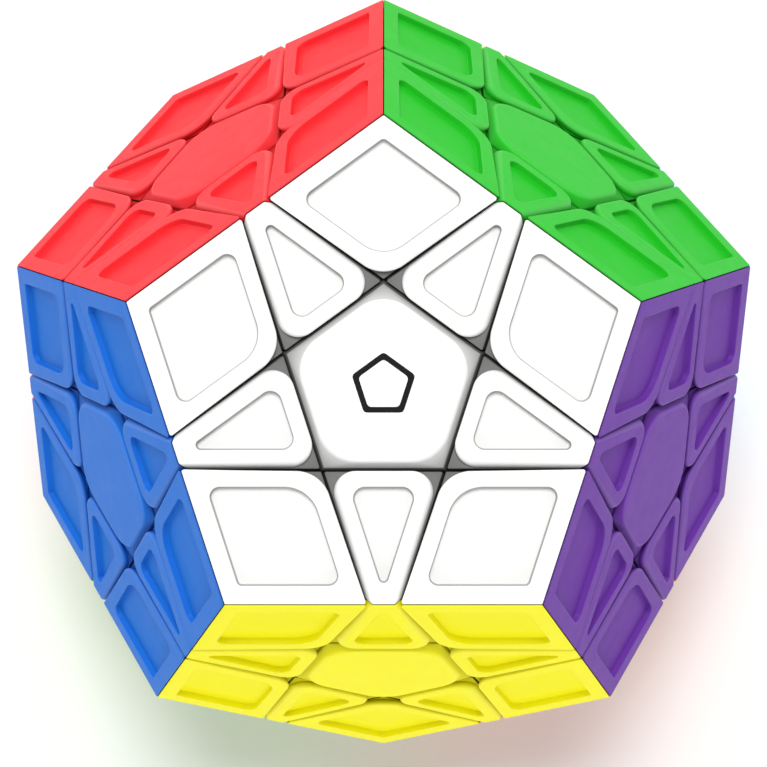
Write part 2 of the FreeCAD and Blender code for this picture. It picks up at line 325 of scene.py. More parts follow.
@dataclass(frozen=True)
class TilePlastic:
    """Plastic coloured through, with a satin gloss, as moulded tiles have it."""

    colour: Colour
    tint: tuple[int, int, int]
    roughness: float = 0.42
    # Painted shade: how far panel walls are darkened, and how dark the shade tone in gaps is.
    shaded_walls: float = 0.15
    gap_shade_tone: float = 0.55
    marked: bool = False
    cloud_scale: float = 260.0
    smear_scale: float = 420.0
    grain_scale: float = 5200.0
    mark_reach: float = 3.1 * MM
    mark_width: float = 0.75 * MM
    mark_soft: float = 0.05 * MM
    mark_round: float = 0.6 * MM
    ink: tuple[int, int, int] = (22, 22, 24)

    @property
    def slot(self) -> str:
        """The record's material slot."""
        return f"tile_{self.colour.value}"

    def material(self) -> bpy.types.Material:
        """Builds the finish.

        Returns:
            The material. It reads the tile's attributes for painted shade, paler rounded edges, walls and
            panels.
        """
        material, bench, shader = new_material(self.slot)
        body = linear(*self.tint)
        shade = toned(body, 0.86)
        # Painted shade tones: a darker, deeper tone for walls and gaps, and a near-black one for the deepest
        # gaps.
        shade_tone = toned(body, self.gap_shade_tone, power=1.3)
        black_shade = toned(body, 0.03)
        pale = toned(body, 0.9, lift=0.1)
        place = bench.place()
        cloud = bench.spread(bench.noise(place, self.cloud_scale, 3.0), 0.0, 0.14)
        coat = bench.blend(cloud, body, shade)
        # Paler towards white on the middle of each rounded edge and lip.
        coat = bench.blend(bench.math("MULTIPLY", bench.attribute("wear"), 0.6), coat, pale)
        coat = bench.blend(bench.math("MULTIPLY", bench.attribute("panel"), 0.12), coat, shade)
        # Painted shade on the panel walls.
        coat = bench.blend(bench.math("MULTIPLY", bench.attribute("wall"), self.shaded_walls), coat, shade_tone)
        # Painted shade: gaps, ledges and walls below ridges are darkened towards the shade tone, and past 1
        # towards near-black.
        grime = bench.attribute("grime")
        coat = bench.blend(grime, coat, shade_tone)
        coat = bench.blend(bench.math("SUBTRACT", grime, 1.0), coat, black_shade)
        if self.marked:
            coat = bench.blend(self.mark(bench, place), coat, linear(*self.ink))
        bench.feed(shader.inputs["Base Color"], coat)
        grain = bench.noise(place, self.grain_scale, 2.0)
        smear = bench.spread(bench.noise(place, self.smear_scale, 4.0), -0.03, 0.04)
        rough = bench.math("ADD", smear, self.roughness)
        rough = bench.math("ADD", rough, bench.math("MULTIPLY", bench.attribute("panel"), 0.08))
        rough = bench.math("ADD", rough, bench.math("MULTIPLY", grime, 0.25))
        bench.feed(shader.inputs["Roughness"], rough)
        bench.feed(shader.inputs["Normal"], bench.bump(grain, 0.05, 0.02 * MM))
        shader.inputs["Specular IOR Level"].default_value = 0.10
        return material

    def mark(self, bench: NodeBench, place: bpy.types.NodeSocket) -> bpy.types.NodeSocket:
        """A plain printed ring with five sides, about the piece's Z axis.

        Args:
            bench: The material's bench.
            place: The piece's coordinates.

        Returns:
            1 on the ring and 0 off it.
        """
        reach = None
        for step in range(5):
            azimuth = math.radians(90.0) + step * FACE_ANGLE
            dot = bench.add("ShaderNodeVectorMath", operation="DOT_PRODUCT")
            bench.feed(dot.inputs[0], place)
            dot.inputs[1].default_value = (-math.cos(azimuth), -math.sin(azimuth), 0.0)
            value = dot.outputs["Value"]
            reach = value if reach is None else bench.math("SMOOTH_MAX", reach, value, self.mark_round)
        half = self.mark_width / 2
        off = bench.math("ABSOLUTE", bench.math("SUBTRACT", reach, self.mark_reach - half))
        return bench.math("LESS_THAN", off, half - self.mark_soft)


@dataclass(frozen=True)
class InnerPlastic:
    """Matt, slightly waxy plastic of the parts that slide on each other."""

    slot: str
    tint: tuple[int, int, int]

    def material(self) -> bpy.types.Material:
        """Builds the finish.

        Returns:
            The material.
        """
        material, bench, shader = new_material(self.slot)
        body = linear(*self.tint)
        polished = toned(body, 1.3, lift=0.004)
        place = bench.place()
        rubbed = bench.spread(bench.noise(place, 180.0, 5.0), 0.0, 0.8)
        bench.feed(shader.inputs["Base Color"], bench.blend(rubbed, body, polished))
        bench.feed(shader.inputs["Roughness"], bench.spread(bench.noise(place, 700.0, 4.0), 0.42, 0.62))
        grain = bench.noise(place, 3600.0, 3.0)
        bench.feed(shader.inputs["Normal"], bench.bump(grain, 0.25, 0.03 * MM))
        return material


@dataclass(frozen=True)
class Metal:
    """Steel of the screws or the springs, with fine drawing or turning marks."""

    slot: str
    tint: tuple[int, int, int]
    roughness: float

    def material(self) -> bpy.types.Material:
        """Builds the finish.

        Returns:
            The material.
        """
        material, bench, shader = new_material(self.slot)
        body = linear(*self.tint)
        dull = toned(body, 0.7)
        place = bench.place()
        bench.feed(shader.inputs["Base Color"], bench.blend(bench.noise(place, 900.0, 5.0), body, dull))
        shader.inputs["Metallic"].default_value = 1.0
        marks = bench.spread(bench.noise(place, 2400.0, 4.0), self.roughness - 0.07, self.roughness + 0.1)
        bench.feed(shader.inputs["Roughness"], marks)
        bench.feed(shader.inputs["Normal"], bench.bump(bench.noise(place, 6000.0, 2.0), 0.15, 0.02 * MM))
        return material


TILE_TINTS = {
    Colour.WHITE: (243, 243, 241),
    Colour.YELLOW: (255, 248, 12),
    Colour.PURPLE: (110, 56, 163),
    Colour.GREEN: (34, 187, 36),
    Colour.RED: (242, 48, 55),
    Colour.BLUE: (28, 114, 212),
    Colour.CREAM: (250, 238, 178),
    Colour.PINK: (246, 142, 188),
    Colour.LIME: (162, 224, 44),
    Colour.ORANGE: (252, 132, 30),
    Colour.SKY: (118, 196, 238),
    Colour.GREY: (150, 152, 156),
}


@dataclass
class FinishShelf:
    """Every finish of the puzzle, each made once."""

    tiles: dict[Colour, bpy.types.Material] = field(default_factory=dict)
    marked: bpy.types.Material | None = None
    inner: bpy.types.Material | None = None
    core: bpy.types.Material | None = None
    screw: bpy.types.Material | None = None
    spring: bpy.types.Material | None = None

    def stock(self) -> None:
        """Makes the finishes."""
        for colour, tint in TILE_TINTS.items():
            plastic = TilePlastic(colour, tint)
            if colour is Colour.WHITE:
                # White tiles get much stronger painted shade on their panel walls and in their gaps.
                plastic = replace(plastic, shaded_walls=0.7, gap_shade_tone=0.14)
                self.marked = replace(plastic, marked=True).material()
            self.tiles[colour] = plastic.material()
        self.inner = InnerPlastic("inner_plastic", (40, 40, 44)).material()
        self.core = InnerPlastic("core_plastic", (226, 226, 220)).material()
        self.screw = Metal("screw_steel", (196, 196, 200), 0.28).material()
        self.spring = Metal("spring_steel", (168, 168, 172), 0.34).material()


# ---- moulded tiles ------------------------------------------------------------------------
@dataclass(frozen=True)
class Side:
    """One side of a tile's outline: the azimuth of its normal, and what bounds it."""

    azimuth: float
    kind: SideKind


@dataclass(frozen=True)
class Outline:
    """Convex outline on a face, its sides in turn against the clock, seen from outside.

    A cut or a ridge leans, so each side's distance from the face's axis changes with depth.
    """

    sides: tuple[Side, ...]
    gap: float = 0.3 * MM
    seam: float = 0.08 * MM

    def distance(self, side: Side, depth: float, inset: float) -> float:
        """Distance of a side from the face's axis.

        Args:
            side: The side.
            depth: Depth below the face.
            inset: How far it is moved into the tile.

        Returns:
            The distance.
        """
        height = INRADIUS - depth
        if side.kind is SideKind.INNER_CUT:
            return (CUT + self.gap / 2 - height * COS) / SIN + inset
        if side.kind is SideKind.OUTER_CUT:
            return (CUT - self.gap / 2 - height * COS) / SIN - inset
        return (height * (1.0 - COS) - self.seam / 2) / SIN - inset

    def corners(self, lean: float, insets: dict[SideKind, float]) -> np.ndarray:
        """Where neighbouring sides cross.

        Args:
            lean: Depth at which the sides' distances are taken.
            insets: How far each kind of side is moved into the tile.

        Returns:
            One point for each side, at its start.
        """
        points = []
        for first, second in zip(self.sides[-1:] + self.sides[:-1], self.sides):
            near = self.distance(first, lean, insets[first.kind])
            far = self.distance(second, lean, insets[second.kind])
            a, b = first.azimuth, second.azimuth
            share = math.sin(b - a)
            points.append(((near * math.sin(b) - far * math.sin(a)) / share,
                           (far * math.cos(a) - near * math.cos(b)) / share))
        return np.array(points)

    def ring(self, depth: float, insets: dict[SideKind, float], radii: tuple[float, ...],
             steps: tuple[int, ...], lean: float | None = None) -> np.ndarray:
        """Closed ring of points round the outline, with rounded corners.

        Args:
            depth: Depth of the ring below the face.
            insets: How far each kind of side is moved into the tile.
            radii: Radius of each corner.
            steps: Number of segments in each corner's arc.
            lean: Depth at which the sides' distances are taken, if not the ring's own.

        Returns:
            The points, as rows of x, y, z.
        """
        corners = self.corners(depth if lean is None else lean, insets)
        rows = []
        for i, corner in enumerate(corners):
            back = corners[i - 1] - corner
            ahead = corners[(i + 1) % len(corners)] - corner
            back, ahead = back / np.linalg.norm(back), ahead / np.linalg.norm(ahead)
            half = math.acos(max(-1.0, min(1.0, float(back @ ahead)))) / 2
            bisector = (back + ahead) / np.linalg.norm(back + ahead)
            middle = corner + bisector * radii[i] / math.sin(half)
            start = corner + back * radii[i] / math.tan(half) - middle
            sweep = math.pi - 2 * half
            for k in range(steps[i] + 1):
                turn = sweep * k / steps[i]
                c, s = math.cos(turn), math.sin(turn)
                rows.append((middle[0] + c * start[0] - s * start[1],
                             middle[1] + s * start[0] + c * start[1], INRADIUS - depth))
        return np.array(rows)


@dataclass
class Loop:
    """One ring of a tile's skin, with what its material reads there."""

    points: np.ndarray
    # Painted shade: how far the skin is darkened where shade would fall; above 1 it goes towards near-black.
    grime: float | np.ndarray = 0.0
    # How much paler the skin is made on rounded edges and lips.
    wear: float = 0.0
    wall: float = 0.0
    panel: float = 0.0


@dataclass
class TileMould:
    """Skin of one kind of tile, as rings from the middle of its face over the rim to its back.

    Lengths are metres on the face. Local Z is the face's axis, with the centre of the puzzle at
    the origin, and local X points at the tile.
    """

    name: str
    outline: Outline
    radii: tuple[float, ...]
    steps: tuple[int, ...]
    thick: float = 2.2 * MM
    top: float = 0.9 * MM
    rim_round: float = 0.6 * MM
    ridge_round: float = 0.12 * MM
    skin: float = 0.12 * MM
    taper: float = 0.3
    # Painted shade on the walls below the ridges, in the seam between faces.
    seam_shade: float = 0.9
    sharp: float = 0.15 * MM
    ledge_edge: float = 0.01 * MM
    support: float = 0.07 * MM
    round_steps: int = 6
    crease: float = 38.0

    def insets(self, cut: float, ridge: float = 0.0) -> dict[SideKind, float]:
        """The same inset on both kinds of cut, and another on ridges."""
        return {SideKind.INNER_CUT: cut, SideKind.OUTER_CUT: cut, SideKind.RIDGE: ridge}

    def shrunk(self, radii: tuple[float, ...], inset: float) -> tuple[float, ...]:
        """Corner radii of an outline moved inward."""
        return tuple(max(radius - inset, self.sharp) for radius in radii)

    def on_ridges(self) -> np.ndarray:
        """Whether each point of a ring lies on a ridge, with the change spread round the corners.

        Returns:
            One value for each point, from 0 on a cut to 1 on a ridge.
        """
        kinds = [float(side.kind is SideKind.RIDGE) for side in self.outline.sides]
        arcs = [np.linspace(kinds[i - 1], kinds[i], steps + 1) for i, steps in enumerate(self.steps)]
        return np.concatenate(arcs)

    def at_ridge_corners(self) -> np.ndarray:
        """Which points of a ring belong to a corner that a ridge ends at.

        Returns:
            One value for each point: 1 at such a corner and 0 at the others.
        """
        kinds = [side.kind is SideKind.RIDGE for side in self.outline.sides]
        corners = [float(kinds[i - 1] or kinds[i]) for i in range(len(kinds))]
        return np.repeat(corners, [steps + 1 for steps in self.steps])

    def outer(self, depth: float, cut: float, ridge: float, grime: float = 0.0, wear: float = 0.0) -> Loop:
        """A ring that follows the tile's own outline. Its inset tapers off towards the ridges.

        Args:
            depth: Depth below the face.
            cut: Inset on the cuts, at the corners farthest from a ridge.
            ridge: Inset on the ridges.
            grime: Painted shade in the gaps. Walls below a ridge always get dark painted shade.
            wear: How much paler the skin is made here.

        Returns:
            The ring.
        """
        wide, slim = (
            self.outline.ring(depth, self.insets(inset, ridge), self.shrunk(self.radii, inset), self.steps)
            for inset in (cut, cut * self.taper))
        share = self.at_ridge_corners()[:, None]
        # Walls below a ridge get painted shade, as in the seam's gap.
        seam = self.seam_shade * self.on_ridges() if depth > self.ridge_round else 0.0
        return Loop(wide * (1.0 - share) + slim * share, grime=np.maximum(grime, seam), wear=wear)

    def square(self, depth: float, cut: float, grime: float) -> Loop:
        """A ring with sharp corners.

        Args:
            depth: Depth below the face.
            cut: Inset on the cuts.
            grime: Painted shade in the gaps.

        Returns:
            The ring.
        """
        sharp = (self.sharp,) * len(self.radii)
        return Loop(self.outline.ring(depth, self.insets(cut), sharp, self.steps), grime=grime)

    def rim(self) -> list[Loop]:
        """The rounded rim, from the flat of the face down to the tile's wall.

        Returns:
            Its rings.
        """
        loops = [self.outer(0.0, self.rim_round + self.skin + self.support, self.ridge_round * 2)]
        for k in range(self.round_steps + 1):
            turn = math.pi / 2 * k / self.round_steps
            cut = self.skin + self.rim_round * (1.0 - math.sin(turn))
            ridge = self.ridge_round * (1.0 - math.sin(turn)) ** 2
            depth = self.rim_round * (1.0 - math.cos(turn))
            # Painted shade that deepens down the rounding towards the gap.
            grime = 0.25 * (1.0 - math.cos(turn))
            loops.append(self.outer(depth, cut, ridge, grime, math.sin(2.0 * turn)))
        return loops

    def flange(self) -> list[Loop]:
        """The wall, the ledge at its foot, and the sharp-cornered flange under it.

        Returns:
            Their rings.
        """
        # Painted shade: darker down the wall and over the ledge, near-black down the flange in the gap.
        return [
            self.outer(self.top - self.support, self.skin, 0.0, grime=0.75),
            self.outer(self.top, self.skin, 0.0, grime=0.9),
            self.square(self.top, self.support, 0.95),
            self.square(self.top, self.ledge_edge, 1.2),
            self.square(self.top + self.support, 0.0, 1.8),
            self.square(self.thick - self.support, 0.0, 2.0),
            self.square(self.thick, self.support, 2.0),
        ]

    def face(self) -> list[Loop]:
        """The rings inside the rim. A plain tile has none."""
        return []

    def loops(self) -> list[Loop]:
        """All rings, from the middle of the face to the tile's back."""
        return self.face() + self.rim() + self.flange()

    def cast(self) -> bpy.types.Mesh:
        """Builds the skin.

        Returns:
            A closed mesh with attributes for painted shade, paler rounded edges, walls and panels.
        """
        loops = self.loops()
        count = len(loops[0].points)
        verts = np.concatenate([loop.points for loop in loops])
        faces = [tuple(range(count))]
        for i in range(len(loops) - 1):
            here, after = i * count, (i + 1) * count
            for k in range(count):
                nxt = (k + 1) % count
                faces.append((here + k, after + k, after + nxt, here + nxt))
        faces.append(tuple(reversed(range(len(verts) - count, len(verts)))))
        mesh = bpy.data.meshes.new(self.name)
        mesh.from_pydata([tuple(v) for v in verts], [], faces)
        for fact in ("grime", "wear", "wall", "panel"):
            values = np.concatenate([np.broadcast_to(getattr(loop, fact), count) for loop in loops])
            layer = mesh.attributes.new(fact, "FLOAT", "POINT")
            layer.data.foreach_set("value", values.astype(np.float32))
        smooth(mesh, self.crease)
        return mesh


@dataclass
class PanelledMould(TileMould):
    """A tile whose face has a raised rim round a recessed panel."""

    panel_outline: Outline | None = None
    panel_radii: tuple[float, ...] = ()
    panel_steps: tuple[int, ...] = ()
    rim_width: float = 2.15 * MM
    flank_width: float = 1.7 * MM
    depth: float = 0.8 * MM
    lip: float = 0.13 * MM
    cove: float = 0.13 * MM
    draft: float = 0.05 * MM
    border: float = 0.5 * MM
    cove_steps: int = 4

    def panel(self, inset: float, depth: float, **facts: float) -> Loop:
        """A ring that follows the panel's mouth.

        Args:
            inset: How far it is moved into the panel.
            depth: Depth below the face.
            **facts: What the material reads there.

        Returns:
            The ring.
        """
        insets = {SideKind.INNER_CUT: self.rim_width + inset,
                  SideKind.OUTER_CUT: self.flank_width + inset,
                  SideKind.RIDGE: self.rim_width + inset}
        outline = self.panel_outline or self.outline
        radii = self.shrunk(self.panel_radii, inset)
        steps = self.panel_steps or self.steps
        return Loop(outline.ring(depth, insets, radii, steps, lean=0.0), **facts)

    def face(self) -> list[Loop]:
        """The panel's floor, the cove round it, its wall and its rounded lip.

        Returns:
            Their rings.
        """
        foot = self.draft + self.cove
        loops = [self.panel(foot + self.border, self.depth, panel=1.0),
                 self.panel(foot + self.support, self.depth, panel=1.0)]
        for k in range(self.cove_steps + 1):
            turn = math.pi / 2 * k / self.cove_steps
            inset = foot - self.cove * math.sin(turn)
            depth = self.depth - self.cove * (1.0 - math.cos(turn))
            loops.append(self.panel(inset, depth, panel=1.0, wall=math.sin(turn)))
        for k in range(self.cove_steps + 1):
            turn = math.pi / 2 * (1.0 - k / self.cove_steps)
            inset = -self.lip * (1.0 - math.sin(turn))
            depth = self.lip * (1.0 - math.cos(turn))
            loops.append(self.panel(inset, depth, wear=0.8 * math.sin(2 * turn), wall=math.sin(turn) ** 3))
        loops.append(self.panel(-self.lip - self.support, 0.0))
        return loops


@dataclass
class CapMould(TileMould):
    """The five-sided cap of a centre piece: flat, with a shoulder that slopes to its sharp edge."""

    shoulder_top: float = 0.32 * MM
    shoulder_low: float = 0.85 * MM
    slope_drop: float = 0.12 * MM
    slope_run: float = 0.05 * MM
    inset: float = 0.42 * MM

    def rim(self) -> list[Loop]:
        """The soft edge of the flat top, down to the shoulder.

        Returns:
            Its rings.
        """
        loops = [self.outer(0.0, self.inset + self.shoulder_top + self.support, 0.0)]
        for k in range(self.round_steps + 1):
            turn = math.pi / 2 * k / self.round_steps
            cut = self.inset + self.shoulder_top * (1.0 - math.sin(turn))
            depth = self.shoulder_top * (1.0 - math.cos(turn))
            loops.append(self.outer(depth, cut, 0.0, wear=0.7 * math.sin(2 * turn)))
        return loops

    def flange(self) -> list[Loop]:
        """The sloping shoulder and the sharp-cornered edge under it.

        Returns:
            Their rings.
        """
        # Painted shade: a little on the shoulder, near-black down the edge in the gap.
        slope = self.outer(self.shoulder_top + self.slope_drop, self.inset - self.slope_run, 0.0, grime=0.4)
        return [
            slope,
            self.square(self.shoulder_low - self.support, self.support, 0.75),
            self.square(self.shoulder_low, 0.0, 1.2),
            self.square(self.thick - self.support, 0.0, 2.0),
            self.square(self.thick, self.support, 2.0),
        ]


@dataclass(frozen=True)
class Seam:
    """How the tiles of a face meet those of the next face along a ridge, and how dark the painted shade on
    its walls is.
    """

    suffix: str
    width: float
    shade_level: float


# White tiles leave a wider seam with near-black painted shade on its walls.
PLAIN_SEAM = Seam("", 0.08 * MM, 0.9)
WHITE_SEAM = Seam("_white", 0.24 * MM, 1.6)


def corner_mould(seam: Seam) -> PanelledMould:
    """Rhombic tile of a corner piece, local X towards the dodecahedron's vertex.

    Args:
        seam: The seam that it leaves along its ridges.

    Returns:
        Its mould.
    """
    half = FACE_ANGLE / 2
    sides = (Side(half, SideKind.INNER_CUT), Side(-half, SideKind.RIDGE),
             Side(half, SideKind.RIDGE), Side(-half, SideKind.INNER_CUT))
    return PanelledMould(
        f"corner_tile{seam.suffix}", Outline(sides, seam=seam.width), seam_shade=seam.shade_level,
        radii=(4.2 * MM, 0.4 * MM, 0.15 * MM, 0.4 * MM), steps=(18, 8, 6, 8),
        panel_radii=(4.0 * MM, 1.1 * MM, 0.55 * MM, 1.1 * MM))


def edge_mould(seam: Seam) -> PanelledMould:
    """Wedge-shaped tile of an edge piece, local X towards the dodecahedron's edge.

    Args:
        seam: The seam that it leaves along its ridge.

    Returns:
        Its mould.
    """
    left, right = Side(-FACE_ANGLE, SideKind.OUTER_CUT), Side(FACE_ANGLE, SideKind.OUTER_CUT)
    base = Side(0.0, SideKind.INNER_CUT)
    return PanelledMould(
        f"edge_tile{seam.suffix}", Outline((left, Side(0.0, SideKind.RIDGE), right, base), seam=seam.width),
        seam_shade=seam.shade_level, radii=(2.4 * MM, 0.35 * MM, 0.35 * MM, 2.4 * MM), steps=(14, 7, 7, 14),
        panel_outline=Outline((left, right, base)), panel_steps=(14, 15, 14),
        panel_radii=(1.3 * MM, 0.55 * MM, 1.3 * MM))


def cap_mould() -> CapMould:
    """Five-sided cap of a centre piece."""
    sides = tuple(Side(FACE_ANGLE * k, SideKind.OUTER_CUT) for k in range(5))
    return CapMould("centre_cap", Outline(sides), radii=(4.9 * MM,) * 5, steps=(14,) * 5, thick=1.8 * MM)


def smooth(mesh: bpy.types.Mesh, angle: float) -> None:
    """Shades a mesh smooth, except where it bends more sharply than an angle in degrees."""
    mesh.polygons.foreach_set("use_smooth", [True] * len(mesh.polygons))
    mesh.set_sharp_from_angle(angle=math.radians(angle))


# ---- Geometry Nodes -----------------------------------------------------------------------
class NodeTree(NodeBench):
    """A Geometry Nodes tree that ends in Realize Instances and Set Material."""

    def __init__(self, name: str, inputs: dict[str, str]) -> None:
        """Starts a tree.

        Args:
            name: Its name.
            inputs: Socket types by input name, beside the geometry itself.
        """
        super().__init__(bpy.data.node_groups.new(name, "GeometryNodeTree"))
        face = self.tree.interface
        face.new_socket("Geometry", in_out="INPUT", socket_type="NodeSocketGeometry")
        for label, kind in {**inputs, "Finish": "NodeSocketMaterial"}.items():
            face.new_socket(label, in_out="INPUT", socket_type=kind)
        face.new_socket("Geometry", in_out="OUTPUT", socket_type="NodeSocketGeometry")
        self.start = self.tree.nodes.new("NodeGroupInput")

    def link(self, output: bpy.types.NodeSocket, target: bpy.types.NodeSocket) -> None:
        """Wires an output to an input."""
        self.tree.links.new(output, target)

    def close(self, output: bpy.types.NodeSocket) -> bpy.types.NodeTree:
        """Ends the tree.

        Args:
            output: The geometry so far.

        Returns:
            The finished tree.
        """
        realize = self.add("GeometryNodeRealizeInstances")
        finish = self.add("GeometryNodeSetMaterial")
        end = self.add("NodeGroupOutput")
        self.link(output, realize.inputs["Geometry"])
        self.link(realize.outputs["Geometry"], finish.inputs["Geometry"])
        self.link(self.start.outputs["Finish"], finish.inputs["Material"])
        self.link(finish.outputs["Geometry"], end.inputs["Geometry"])
        return self.tree


def placing_tree() -> bpy.types.NodeTree:
    """Tree that lays an item on every point of a mesh, turned by the point's own rotation.

    Returns:
        The tree, with inputs Item and Finish. Points carry a quaternion attribute named turn.
    """
    nodes = NodeTree("place_items", {"Item": "NodeSocketObject"})
    item = nodes.add("GeometryNodeObjectInfo")
    turn = nodes.add("GeometryNodeInputNamedAttribute", data_type="QUATERNION")
    turn.inputs["Name"].default_value = "turn"
    lay = nodes.add("GeometryNodeInstanceOnPoints")
    nodes.link(nodes.start.outputs["Item"], item.inputs["Object"])
    nodes.link(nodes.start.outputs["Geometry"], lay.inputs["Points"])
    nodes.link(item.outputs["Geometry"], lay.inputs["Instance"])
    nodes.link(turn.outputs["Attribute"], lay.inputs["Rotation"])
    return nodes.close(lay.outputs["Instances"])


def coil_tree() -> bpy.types.NodeTree:
    """Tree that winds a wire into a coil along +Z.

    Returns:
        The tree, with inputs Turns, Coil radius, Wire radius, Length and Finish.
    """
    number = "NodeSocketFloat"
    nodes = NodeTree("wind_coil", {"Turns": number, "Coil radius": number,
                                   "Wire radius": number, "Length": number})
    start = nodes.start.outputs
    spiral = nodes.add("GeometryNodeCurveSpiral")
    spiral.inputs["Resolution"].default_value = 36
    nodes.link(start["Turns"], spiral.inputs["Rotations"])
    nodes.link(start["Coil radius"], spiral.inputs["Start Radius"])
    nodes.link(start["Coil radius"], spiral.inputs["End Radius"])
    nodes.link(start["Length"], spiral.inputs["Height"])
    wire = nodes.add("GeometryNodeCurvePrimitiveCircle")
    wire.inputs["Resolution"].default_value = 12
    nodes.link(start["Wire radius"], wire.inputs["Radius"])
    sweep = nodes.add("GeometryNodeCurveToMesh")
    sweep.inputs["Fill Caps"].default_value = True
    nodes.link(spiral.outputs["Curve"], sweep.inputs["Curve"])
    nodes.link(wire.outputs["Curve"], sweep.inputs["Profile Curve"])
    return nodes.close(sweep.outputs["Mesh"])


def grown(name: str, tree: bpy.types.NodeTree, inputs: dict[str, object],
          seed: bpy.types.Mesh | None = None) -> bpy.types.Object:
    """Runs a Geometry Nodes tree once and keeps its result as a plain mesh.

    Args:
        name: Name of the new object.
        tree: The tree.
        inputs: Values by input name.
        seed: Mesh that the tree starts from, or none.

    Returns:
        An object at the origin whose mesh is the tree's result. It has no modifier.
    """
    carrier = bpy.data.objects.new(name, seed or bpy.data.meshes.new(name))
    bpy.context.scene.collection.objects.link(carrier)
    modifier = carrier.modifiers.new("grow", "NODES")
    modifier.node_group = tree
    identifiers = {s.name: s.identifier for s in tree.interface.items_tree if s.in_out == "INPUT"}
    for label, value in inputs.items():
        modifier[identifiers[label]] = value
    graph = bpy.context.evaluated_depsgraph_get()
    mesh = bpy.data.meshes.new_from_object(carrier.evaluated_get(graph), depsgraph=graph)
    carrier.modifiers.remove(modifier)
    carrier.data = mesh
    mesh.name = name
    return carrier


def turning_points(turns: list[Matrix]) -> bpy.types.Mesh:
    """Points at the origin, one for each rotation, for the placing tree.

    Args:
        turns: The rotations.

    Returns:
        The points, each with a quaternion attribute named turn.
    """
    mesh = bpy.data.meshes.new("turning_points")
    mesh.from_pydata([(0.0, 0.0, 0.0)] * len(turns), [], [])
    layer = mesh.attributes.new("turn", "QUATERNION", "POINT")
    for spot, turn in zip(layer.data, turns):
        spot.value = turn.to_quaternion()
    return mesh


# ---- sub-assemblies -----------------------------------------------------------------------
@dataclass
class Workshop:
    """What every sub-assembly is made with: the moulds, the finishes and the trees."""

    shelf: FinishShelf
    placing: bpy.types.NodeTree = field(default_factory=placing_tree)
    winding: bpy.types.NodeTree = field(default_factory=coil_tree)
    masters: dict[str, bpy.types.Object] = field(default_factory=dict)

    def cut_moulds(self) -> None:
        """Casts one master of each kind of tile. Masters aren't shown."""
        moulds = [cap_mould()]
        for seam in (PLAIN_SEAM, WHITE_SEAM):
            moulds += [corner_mould(seam), edge_mould(seam)]
        for mould in moulds:
            self.masters[mould.name] = bpy.data.objects.new(mould.name, mould.cast())
            LOG.info("mould %s: %d faces", mould.name, len(self.masters[mould.name].data.polygons))

    def lay(self, name: str, kind: str, turns: list[Matrix], finish: bpy.types.Material) -> bpy.types.Object:
        """Copies of a master, turned about the centre of the puzzle.

        Args:
            name: Name of the piece.
            kind: Which master.
            turns: One rotation for each copy.
            finish: Its material.

        Returns:
            The new piece.
        """
        inputs = {"Item": self.masters[kind], "Finish": finish}
        return grown(name, self.placing, inputs, turning_points(turns))


@dataclass
class PuzzlePiece:
    """A centre, edge or corner piece: a base from the CAD model under one to three tiles."""

    node: str
    body: str
    colours: tuple[Colour, ...]
    label: str

    @property
    def middle(self) -> Vector:
        """Direction of the piece from the centre of the puzzle."""
        return sum((AXES[colour] for colour in self.colours), Vector()).normalized()

    def tile_kind(self, colour: Colour) -> str:
        """Which mould the tile of a colour comes from. White ones leave a wider seam.

        Args:
            colour: The tile's colour.

        Returns:
            The mould's name.
        """
        if len(self.colours) == 1:
            return "centre_cap"
        kind = {2: "edge_tile", 3: "corner_tile"}[len(self.colours)]
        return kind + (WHITE_SEAM if colour is Colour.WHITE else PLAIN_SEAM).suffix

    def tile_turn(self, colour: Colour) -> Matrix:
        """How the tile of a colour is turned on to its face.

        Args:
            colour: The tile's colour.

        Returns:
            The rotation.
        """
        toward = self.middle
        if len(self.colours) == 1:
            toward = next(a for a in AXES.values() if abs(a.dot(AXES[colour]) - COS) < 1e-6)
        return face_turn(AXES[colour], toward)

    def build(self, shop: Workshop) -> list[bpy.types.Object]:
        """Lays the piece's tiles.

        Args:
            shop: The moulds and finishes.

        Returns:
            The tiles, riding on the piece's body.
        """
        made = []
        for colour in self.colours:
            finish = shop.shelf.tiles[colour]
            if self.label == "centre" and colour is Colour.WHITE:
                finish = shop.shelf.marked
            name = f"{self.label}_{'_'.join(c.value for c in self.colours)}_tile_{colour.value}"
            tile = shop.lay(name, self.tile_kind(colour), [self.tile_turn(colour)], finish)
            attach(tile, self.body)
            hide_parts(self.node)
            made.append(tile)
        return made


